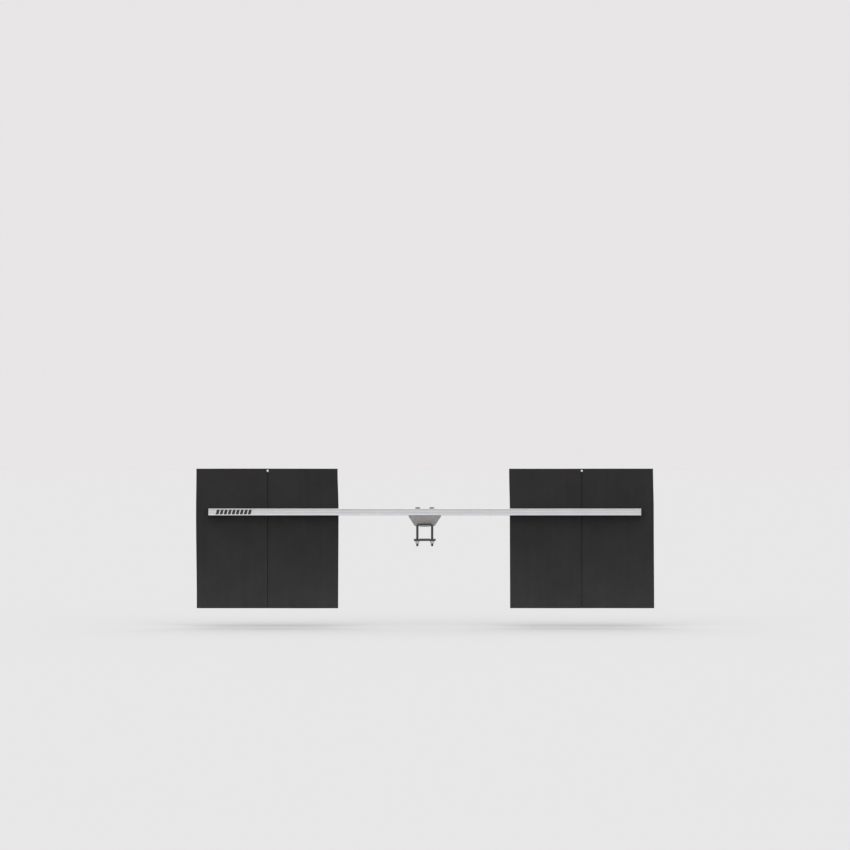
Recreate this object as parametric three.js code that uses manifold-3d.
// Hitch-mounted mud flaps for a pickup: two pairs of rubber panels hang from an aluminium rail,
// and a bracket under the rail's middle clamps on the square shank of a ball mount.
//
// Millimetres. +X is to the right for someone standing behind the truck, +Y is towards the front
// of the truck and +Z is up. The origin is the middle of the bracket's seat on top of the shank.
// The pieces are drawn with y = 0 at the rail's middle, and the group moves them all at the end.
import * as THREE from "three";
import { mergeVertices } from "three/addons/utils/BufferGeometryUtils.js";
import Module from "manifold-3d";

// ---------------------------------------------------------------- driving dimensions

const GAP = 0.3; // between pieces that touch each other
const SHANK = 50.8; // side of the square ball mount shank, 2 inches
const BENDING = 0.45; // between a panel's clamped top and its hanging skirt

const rail = {
  height: 28.5,
  depth: 38,
  bottom: 47.25, // height of its underside above the shank
  end: 912, // from the middle to the end of each half
  wall: 3,
  cornerRadius: 1,
  lip: 3, // raised border above and below the long recess of the rear face
  recess: 0.6,
  flute: { width: 6.4, slope: 1.4, depth: 0.35, height: 5 }, // two shallow flutes along the recess
};
const slot = { mouth: 9, width: 16.4, depth: 7, lip: 3 }; // T-slot along the rail's front face

const panel = { width: 301.3, thickness: 9.5, top: 244, bottom: -345, seam: 0.4 };
const FLAP_INNER_EDGE = 362; // from the middle to the inner panel

const strip = { length: 583, height: 25, thickness: 4 };
const FLAP_BOLTS = [412, 612, 715, 870]; // from the middle, two bolts to a panel

const web = { thickness: 6, rear: -17.5, halfTop: 68, halfBottom: 42.5, bottom: 2.5 };
const flange = { halfWidth: 68.5, thickness: 6 };
const foot = { width: 45, length: 85, thickness: 5 };
const uBolt = { rod: 10, legSpacing: 62.5, bendRadius: 9, legEnd: -82, fromWeb: 27 };
const clampPlate = { width: 92, thickness: 8, pad: 1 };

const railBolt = { size: 10, headRadius: 10.9, x: 30, y: -1.5 };
const spliceBar = { length: 240, screw: 95, screwRadius: 2.5, screwLength: 13 };
const decal = { length: 158, height: 20, thickness: 0.4, x: -803 };

// ---------------------------------------------------------------- places worked out from them

const RAIL_TOP = rail.bottom + rail.height;
const RAIL_MIDDLE = rail.bottom + rail.height / 2;
const RAIL_FRONT = rail.depth / 2;
const SLOT_FLOOR = RAIL_FRONT - slot.lip - slot.depth;
const PANEL_REAR = RAIL_FRONT + GAP;
const PANEL_MIDDLE = PANEL_REAR + panel.thickness / 2;
const PANEL_FRONT = PANEL_REAR + panel.thickness;
const STRIP_FRONT = PANEL_FRONT + GAP + strip.thickness;
const BEND_LINE = rail.bottom - panel.thickness / 2 - 1.25; // the skirts hinge about this height
const SEAM = FLAP_INNER_EDGE + panel.width + panel.seam / 2;
const SEAM_BOLT_HEIGHT = panel.top - 9.5;
const FLANGE_BOTTOM = rail.bottom - GAP - flange.thickness;
const WEB_MIDDLE = web.rear + web.thickness / 2;
const FOOT_REAR = WEB_MIDDLE - foot.length / 2;
const FOOT_FRONT = WEB_MIDDLE + foot.length / 2;
const U_BOLT_PLACES = { rear: WEB_MIDDLE - uBolt.fromWeb, front: WEB_MIDDLE + uBolt.fromWeb };
const SLOT_HEAD_REAR = RAIL_FRONT - slot.lip - GAP - 5;
const CLAMP_PLATE_BOTTOM = -SHANK - clampPlate.pad - clampPlate.thickness;

// ---------------------------------------------------------------- materials

const finish = (color, roughness, metalness) =>
  new THREE.MeshStandardMaterial({ color, roughness, metalness });
const RUBBER = finish(0x2f2f31, 0.85, 0);
const ALUMINIUM = finish(0xc9ccd0, 0.35, 0.9);
const CAST_ALUMINIUM = finish(0x9c9894, 0.6, 0.7);
const ZINC = finish(0xb4b6b8, 0.35, 0.9);
const DARK_STEEL = finish(0x55565a, 0.5, 0.8);
const PLASTIC = finish(0x1c1c1e, 0.6, 0);
const VINYL = finish(0x141416, 0.5, 0);

// ---------------------------------------------------------------- solids: joining and cutting

const wasm = await Module();
wasm.setup();

// A closed geometry as a manifold-3d solid.
function solidOf(geometry) {
  const bare = geometry.index ? geometry.toNonIndexed() : geometry.clone();
  bare.deleteAttribute("normal");
  bare.deleteAttribute("uv");
  const merged = mergeVertices(bare, 1e-4);
  const triangles = [];
  for (let i = 0; i < merged.index.count; i += 3) {
    const [a, b, c] = merged.index.array.slice(i, i + 3);
    if (a !== b && b !== c && c !== a) triangles.push(a, b, c);
  }
  return new wasm.Manifold(
    new wasm.Mesh({
      numProp: 3,
      vertProperties: merged.attributes.position.array,
      triVerts: new Uint32Array(triangles),
    }),
  );
}

// A manifold-3d solid as a geometry again.
function geometryOf(solid) {
  const mesh = solid.getMesh();
  const geometry = new THREE.BufferGeometry();
  geometry.setAttribute("position", new THREE.BufferAttribute(mesh.vertProperties, 3));
  geometry.setIndex(new THREE.BufferAttribute(mesh.triVerts, 1));
  geometry.computeVertexNormals();
  return geometry;
}

function join(first, ...others) {
  return geometryOf(others.reduce((sum, other) => sum.add(solidOf(other)), solidOf(first)));
}

function cut(body, ...tools) {
  return geometryOf(tools.reduce((rest, tool) => rest.subtract(solidOf(tool)), solidOf(body)));
}

// ---------------------------------------------------------------- simple shapes

// A box between two corners.
function block([x0, y0, z0], [x1, y1, z1]) {
  const box = new THREE.BoxGeometry(x1 - x0, y1 - y0, z1 - z0);
  return box.translate((x0 + x1) / 2, (y0 + y1) / 2, (z0 + z1) / 2);
}

// A round or many-sided rod standing on the origin, along +Z.
function rodUp(radius, length, sides = 16, topRadius = radius) {
  const rod = new THREE.CylinderGeometry(topRadius, radius, length, sides);
  return rod.rotateX(Math.PI / 2).translate(0, 0, length / 2);
}

// The same rod lying along +Y.
function rodForward(radius, length, sides, topRadius) {
  return rodUp(radius, length, sides, topRadius).rotateX(-Math.PI / 2);
}

// A section drawn in (y, z), drawn out along +X and centred on x = 0.
function drawnAlongX(section, length, curveSegments = 4) {
  const swept = new THREE.ExtrudeGeometry(section, {
    depth: length,
    bevelEnabled: false,
    curveSegments,
  });
  const toX = new THREE.Matrix4().makeBasis(
    new THREE.Vector3(0, 1, 0),
    new THREE.Vector3(0, 0, 1),
    new THREE.Vector3(1, 0, 0),
  );
  return swept.applyMatrix4(toX).translate(-length / 2, 0, 0);
}

// An outline drawn in (x, z), as a plate from y = rear to y = rear + thickness.
function uprightPlate(outline, rear, thickness, curveSegments = 5) {
  const plate = new THREE.ExtrudeGeometry(outline, {
    depth: thickness,
    bevelEnabled: false,
    curveSegments,
  });
  return plate.rotateX(Math.PI / 2).translate(0, rear + thickness, 0);
}

function polygon(points) {
  return new THREE.Shape(points.map(([x, y]) => new THREE.Vector2(x, y)));
}

function hexNut(acrossFlats, height, boltRadius, flangeRadius = 0) {
  const hex = rodUp(acrossFlats / Math.sqrt(3), height, 6);
  const body = flangeRadius ? join(hex, rodUp(flangeRadius, 1.6, 20)) : hex;
  return cut(body, rodUp(boltRadius + GAP, height + 2).translate(0, 0, -1));
}

// ---------------------------------------------------------------- the scene graph

const mudFlaps = new THREE.Group();

function add(parent, name, geometry, material, [x, y, z] = [0, 0, 0]) {
  const mesh = new THREE.Mesh(geometry, material);
  mesh.name = name;
  mesh.position.set(x, y, z);
  parent.add(mesh);
  return mesh;
}

const SIDES = { left: -1, right: 1 };

// ---------------------------------------------------------------- the rail

// The extrusion's outline in (y, z): a recessed rear face, and a T-slot in the front face.
function railSection() {
  const { height, depth, cornerRadius: r, lip, recess, flute } = rail;
  const h = height / 2;
  const d = depth / 2;
  const floor = d - recess;
  const mouth = slot.mouth / 2;
  const cavity = slot.width / 2;
  const cavityFront = d - slot.lip;
  const cavityRear = SLOT_FLOOR;
  const section = new THREE.Shape();
  section.absarc(-d + r, -h + r, r, Math.PI, 1.5 * Math.PI);
  section.absarc(d - r, -h + r, r, 1.5 * Math.PI, 2 * Math.PI);
  section.lineTo(d, -mouth);
  section.lineTo(cavityFront, -mouth);
  section.lineTo(cavityFront, -cavity);
  section.lineTo(cavityRear, -cavity);
  section.lineTo(cavityRear, cavity);
  section.lineTo(cavityFront, cavity);
  section.lineTo(cavityFront, mouth);
  section.lineTo(d, mouth);
  section.absarc(d - r, h - r, r, 0, 0.5 * Math.PI);
  section.absarc(-d + r, h - r, r, 0.5 * Math.PI, Math.PI);
  section.lineTo(-d, h - lip);
  section.lineTo(-floor, h - lip - recess);
  for (const middle of [flute.height, -flute.height]) {
    section.lineTo(-floor, middle + flute.width / 2);
    section.lineTo(-floor + flute.depth, middle + flute.width / 2 - flute.slope);
    section.lineTo(-floor + flute.depth, middle - flute.width / 2 + flute.slope);
    section.lineTo(-floor, middle - flute.width / 2);
  }
  section.lineTo(-floor, -h + lip + recess);
  section.lineTo(-d, -h + lip);
  return section;
}

// The outline of the hollow core, or of a bar or plug that fits in it with the given clearance.
function hollowOutline(clearance) {
  const top = rail.height / 2 - rail.wall - clearance;
  const rear = -rail.depth / 2 + rail.wall + clearance;
  const front = SLOT_FLOOR - rail.wall - clearance;
  return polygon([
    [rear, -top],
    [front, -top],
    [front, top],
    [rear, top],
  ]);
}

function railHalf(side) {
  const length = rail.end - GAP;
  const middle = (side * (rail.end + GAP)) / 2;
  const body = drawnAlongX(railSection(), length, 2).translate(middle, 0, 0);
  const core = drawnAlongX(hollowOutline(0), length + 4).translate(middle, 0, 0);
  const hole = rodUp(railBolt.size / 2 + 0.5, rail.height + 4).translate(
    side * railBolt.x,
    railBolt.y,
    -rail.height / 2 - 2,
  );
  const screwHole = spliceScrewHole(side, SLOT_FLOOR - rail.wall - 1, SLOT_FLOOR + 1);
  return cut(body, core, hole, screwHole);
}

// A moulded cap: a plate over the rail's end and a plug in its hollow core.
function endCap(side) {
  const plate = 2.2;
  const plug = 9;
  const outline = new THREE.Shape();
  const y = rail.depth / 2 - 1.5;
  const z = rail.height / 2 - 1.5;
  for (const [cy, cz, start] of [
    [y, z, 0],
    [-y, z, 0.5],
    [-y, -z, 1],
    [y, -z, 1.5],
  ])
    outline.absarc(cy, cz, 1.5, start * Math.PI, (start + 0.5) * Math.PI);
  return join(
    drawnAlongX(outline, plate, 3).translate((side * plate) / 2, 0, 0),
    drawnAlongX(hollowOutline(GAP), plug).translate((-side * plug) / 2 + side * 0.5, 0, 0),
  );
}

// A splice screw's hole along Y, between two depths at the height of the rail's middle.
function spliceScrewHole(side, rear, front) {
  const hole = rodForward(spliceBar.screwRadius + 0.4, front - rear, 12);
  return hole.translate(side * spliceBar.screw, rear, 0);
}

// The bar inside the rail's hollow core, across the joint of its two halves.
function spliceBarBody() {
  const holes = [];
  for (const side of Object.values(SIDES)) {
    const boltHole = rodUp(railBolt.size / 2 + 0.5, 2 * rail.height);
    holes.push(boltHole.translate(side * railBolt.x, railBolt.y, -rail.height));
    holes.push(spliceScrewHole(side, SLOT_FLOOR - spliceBar.screwLength - 1, SLOT_FLOOR));
  }
  return cut(drawnAlongX(hollowOutline(GAP), spliceBar.length), ...holes);
}

// A low domed head with a hexagon socket on a plain shank, head up and its underside at z = 0.
function domedBolt(shankRadius, shankLength, headRadius, headHeight, socket) {
  const dome = rodUp(headRadius, headHeight, 20, headRadius * 0.62);
  const shank = rodUp(shankRadius, shankLength + 1).translate(0, 0, -shankLength);
  const key = rodUp(socket / Math.sqrt(3), headHeight, 6).translate(0, 0, headHeight * 0.4);
  return cut(join(dome, shank), key);
}

function buildRail() {
  for (const [name, side] of Object.entries(SIDES)) {
    add(mudFlaps, `${name}_rail`, railHalf(side), ALUMINIUM, [0, 0, RAIL_MIDDLE]);
    const capPlace = [side * (rail.end + GAP), 0, RAIL_MIDDLE];
    add(mudFlaps, `${name}_end_cap`, endCap(side), PLASTIC, capPlace);

    const x = side * railBolt.x;
    const y = railBolt.y;
    const bolt = domedBolt(railBolt.size / 2, 52, railBolt.headRadius, 5.5, 6);
    add(mudFlaps, `${name}_rail_bolt`, bolt, DARK_STEEL, [x, y, RAIL_TOP + GAP]);
    const washer = cut(rodUp(9.5, 2, 20), rodUp(5.4, 4).translate(0, 0, -1));
    const washerBottom = FLANGE_BOTTOM - GAP - 2;
    add(mudFlaps, `${name}_rail_washer`, washer, ZINC, [x, y, washerBottom]);
    const nut = hexNut(16, 8.4, railBolt.size / 2);
    add(mudFlaps, `${name}_rail_nut`, nut, ZINC, [x, y, washerBottom - GAP - 8.4]);

    const screw = domedBolt(spliceBar.screwRadius, spliceBar.screwLength, 4.3, 2.8, 3);
    const screwPlace = [side * spliceBar.screw, SLOT_FLOOR + GAP, RAIL_MIDDLE];
    add(mudFlaps, `${name}_splice_screw`, screw.rotateX(-Math.PI / 2), DARK_STEEL, screwPlace);
  }
  add(mudFlaps, "splice_bar", spliceBarBody(), ALUMINIUM, [0, 0, RAIL_MIDDLE]);

  const recessFloor = -rail.depth / 2 + rail.recess;
  const label = block(
    [-decal.length / 2, -decal.thickness, -decal.height / 2],
    [decal.length / 2, 0, decal.height / 2],
  );
  add(mudFlaps, "rail_decal", label, VINYL, [decal.x, recessFloor - 0.05, RAIL_MIDDLE]);
}

// ---------------------------------------------------------------- the hitch bracket and its clamp

// The upright web: wide under the rail, narrow at the shank, with rounded lower corners.
function webOutline() {
  const { halfTop, halfBottom, bottom } = web;
  const corner = 4;
  const outline = new THREE.Shape();
  outline.moveTo(halfTop, FLANGE_BOTTOM + 1);
  outline.lineTo(-halfTop, FLANGE_BOTTOM + 1);
  outline.lineTo(-halfBottom - corner * 0.4, bottom + corner * 0.6);
  outline.quadraticCurveTo(-halfBottom, bottom, -halfBottom + corner, bottom);
  outline.lineTo(halfBottom - corner, bottom);
  outline.quadraticCurveTo(halfBottom, bottom, halfBottom + corner * 0.4, bottom + corner * 0.6);
  return outline;
}

// A triangular rib in a plane of constant x, in the corner where two plates meet.
function rib(x, corner, acrossY, acrossZ, thickness = 5) {
  const [y, z] = corner;
  const section = polygon([
    [y, z],
    [y + acrossY, z],
    [y, z + acrossZ],
  ]);
  return drawnAlongX(section, thickness).translate(x, 0, 0);
}

function bracketBody() {
  const webFront = web.rear + web.thickness;
  const top = [
    [-flange.halfWidth, web.rear, FLANGE_BOTTOM],
    [flange.halfWidth, RAIL_FRONT, FLANGE_BOTTOM + flange.thickness],
  ];
  const base = [
    [-foot.width / 2, FOOT_REAR, 0],
    [foot.width / 2, FOOT_FRONT, foot.thickness],
  ];
  const holes = Object.values(SIDES).map((side) =>
    rodUp(5.5, 20).translate(side * railBolt.x, railBolt.y, FLANGE_BOTTOM - 5),
  );
  const body = join(
    uprightPlate(webOutline(), web.rear, web.thickness),
    block(...top),
    block(...base),
    rib(0, [webFront - 1, foot.thickness - 1], 18, 26),
    rib(-52, [webFront - 1, FLANGE_BOTTOM + 1], 24, -18),
    rib(0, [webFront - 1, FLANGE_BOTTOM + 1], 24, -18),
    rib(52, [webFront - 1, FLANGE_BOTTOM + 1], 24, -18),
  );
  return cut(body, ...holes);
}

// The centre line of a square U-bolt, open downwards. Its parameter takes one step for each straight
// stretch and several for each bend, so a sweep along it puts its sections where the bends are.
class UBoltPath extends THREE.Curve {
  static BEND_STEPS = 5;
  static STEPS = 3 + 2 * UBoltPath.BEND_STEPS;

  constructor(halfWidth, top, bottom, radius) {
    super();
    Object.assign(this, { halfWidth, top, bottom, radius });
  }

  getUtoTmapping(u) {
    return u;
  }

  getPoint(t, target = new THREE.Vector3()) {
    const { halfWidth, top, bottom, radius } = this;
    const bend = UBoltPath.BEND_STEPS;
    const step = t * UBoltPath.STEPS;
    const shoulder = top - radius;
    const inner = halfWidth - radius;
    const side = step < UBoltPath.STEPS / 2 ? -1 : 1;
    const fromEnd = side < 0 ? step : UBoltPath.STEPS - step;
    if (fromEnd <= 1) {
      return target.set(side * halfWidth, 0, bottom + (shoulder - bottom) * fromEnd);
    }
    if (fromEnd <= 1 + bend) {
      const angle = ((fromEnd - 1) / bend) * (Math.PI / 2);
      return target.set(
        side * (inner + radius * Math.cos(angle)),
        0,
        shoulder + radius * Math.sin(angle),
      );
    }
    return target.set((step - UBoltPath.STEPS / 2) * 2 * inner, 0, top);
  }
}

function uBoltBody() {
  const middle = foot.thickness + GAP + uBolt.rod / 2;
  const path = new UBoltPath(uBolt.legSpacing / 2, middle, uBolt.legEnd, uBolt.bendRadius);
  const section = new THREE.Shape();
  section.absarc(0, 0, uBolt.rod / 2, 0, 2 * Math.PI);
  return new THREE.ExtrudeGeometry(section, {
    extrudePath: path,
    steps: UBoltPath.STEPS,
    curveSegments: 6,
  });
}

function clampPlateBody() {
  const half = clampPlate.width / 2;
  const top = -SHANK - clampPlate.pad;
  const plate = block([-half, FOOT_REAR, CLAMP_PLATE_BOTTOM], [half, FOOT_FRONT, top]);
  const padHalf = foot.width / 2;
  const pad = block([-padHalf, FOOT_REAR + 2, top - 1], [padHalf, FOOT_FRONT - 2, -SHANK]);
  const holes = [];
  for (const y of Object.values(U_BOLT_PLACES))
    for (const side of Object.values(SIDES))
      holes.push(rodUp(5.6, 20).translate((side * uBolt.legSpacing) / 2, y, CLAMP_PLATE_BOTTOM - 5));
  return cut(join(plate, pad), ...holes);
}

function buildHitchClamp() {
  add(mudFlaps, "hitch_bracket", bracketBody(), CAST_ALUMINIUM);
  add(mudFlaps, "clamp_plate", clampPlateBody(), DARK_STEEL);
  const nutHeight = 10;
  const nutBottom = CLAMP_PLATE_BOTTOM - GAP - nutHeight;
  for (const [place, y] of Object.entries(U_BOLT_PLACES)) {
    add(mudFlaps, `${place}_u_bolt`, uBoltBody(), DARK_STEEL, [0, y, 0]);
    for (const [name, side] of Object.entries(SIDES)) {
      const nut = hexNut(15, nutHeight, uBolt.rod / 2, 10).rotateX(Math.PI);
      const at = [(side * uBolt.legSpacing) / 2, y, nutBottom + nutHeight];
      add(mudFlaps, `${place}_u_bolt_nut_${name}`, nut, ZINC, at);
    }
  }
}

// ---------------------------------------------------------------- the rubber panels

// The part of a panel that the rail and the strip hold, with its bolt holes and half the seam's hole.
function panelTop(side, innerEdge, seamEdge, bolts) {
  const bottom = BEND_LINE + panel.thickness / 2 + BENDING;
  const x0 = side > 0 ? innerEdge : -innerEdge - panel.width;
  const body = block([x0, PANEL_REAR, bottom], [x0 + panel.width, PANEL_FRONT, panel.top]);
  const long = panel.thickness + 4;
  const boltHoles = bolts.map((x) =>
    rodForward(4.5, long, 12).translate(side * x, PANEL_REAR - 2, RAIL_MIDDLE),
  );
  const seamHole = rodForward(3.6, long, 12);
  seamHole.translate(side * seamEdge, PANEL_REAR - 2, SEAM_BOLT_HEIGHT);
  return cut(body, ...boltHoles, seamHole);
}

// The part that hangs below the rail. Its top edge is round, about the line that it bends on.
function panelSkirt() {
  const half = panel.thickness / 2;
  const drop = BEND_LINE - panel.bottom;
  const section = new THREE.Shape();
  section.moveTo(-half, -drop);
  section.lineTo(half, -drop);
  section.absarc(0, 0, half, 0, Math.PI);
  return drawnAlongX(section, panel.width, 8);
}

// A bolt whose flat head slides in the rail's T-slot, pointing forwards from y = 0 at its head's back.
function slotBolt() {
  const head = block([-6, 0, -7.5], [6, 5, 7.5]);
  const shank = rodForward(4, STRIP_FRONT + 11 - (SLOT_HEAD_REAR + 4), 12).translate(0, 4, 0);
  return join(head, shank);
}

function clampStrip(side) {
  const half = strip.length / 2;
  const body = block(
    [side * SEAM - half, PANEL_FRONT + GAP, RAIL_MIDDLE - strip.height / 2],
    [side * SEAM + half, STRIP_FRONT, RAIL_MIDDLE + strip.height / 2],
  );
  const holes = FLAP_BOLTS.map((x) =>
    rodForward(4.5, strip.thickness + 4, 12).translate(side * x, PANEL_FRONT - 2, RAIL_MIDDLE),
  );
  return cut(body, ...holes);
}

// A small plate behind the top of the seam, which a bolt through the seam pulls both panels against.
function buildSeamFastener(name, side) {
  const plateThickness = 3;
  const plate = block([-21, 0, -11], [21, plateThickness, 9]);
  const hole = rodForward(3.4, 8, 12).translate(0, -2, 0);
  const at = (y) => [side * SEAM, y, SEAM_BOLT_HEIGHT];
  add(mudFlaps, `${name}_seam_plate`, cut(plate, hole), ZINC, at(PANEL_FRONT + GAP));

  const bolt = domedBolt(3, 21, 5.5, 3.2, 4).rotateX(Math.PI / 2);
  add(mudFlaps, `${name}_seam_bolt`, bolt, ZINC, at(PANEL_REAR - GAP));
  const nut = hexNut(10, 5, 3).rotateX(-Math.PI / 2);
  add(mudFlaps, `${name}_seam_nut`, nut, ZINC, at(PANEL_FRONT + plateThickness + 2 * GAP));
}

function buildFlaps() {
  for (const [name, side] of Object.entries(SIDES)) {
    const innerEdges = {
      inner: FLAP_INNER_EDGE,
      outer: FLAP_INNER_EDGE + panel.width + panel.seam,
    };
    for (const [place, innerEdge] of Object.entries(innerEdges)) {
      const bolts = FLAP_BOLTS.filter((x) => x > innerEdge && x < innerEdge + panel.width);
      add(mudFlaps, `${name}_${place}_flap_top`, panelTop(side, innerEdge, SEAM, bolts), RUBBER);
      const hinge = [side * (innerEdge + panel.width / 2), PANEL_MIDDLE, BEND_LINE];
      add(mudFlaps, `${name}_${place}_flap_skirt`, panelSkirt(), RUBBER, hinge);
    }
    add(mudFlaps, `${name}_clamp_strip`, clampStrip(side), ZINC);
    FLAP_BOLTS.forEach((x, i) => {
      const boltPlace = [side * x, SLOT_HEAD_REAR, RAIL_MIDDLE];
      add(mudFlaps, `${name}_slot_bolt_${i + 1}`, slotBolt(), ZINC, boltPlace);
      const nut = hexNut(13, 8, 4, 8.5).rotateX(-Math.PI / 2);
      const nutPlace = [side * x, STRIP_FRONT + GAP, RAIL_MIDDLE];
      add(mudFlaps, `${name}_strip_nut_${i + 1}`, nut, ZINC, nutPlace);
    });
    buildSeamFastener(name, side);
  }
}

buildRail();
buildHitchClamp();
buildFlaps();
mudFlaps.position.y = -WEB_MIDDLE; // the seat is centred under the web

export default mudFlaps;
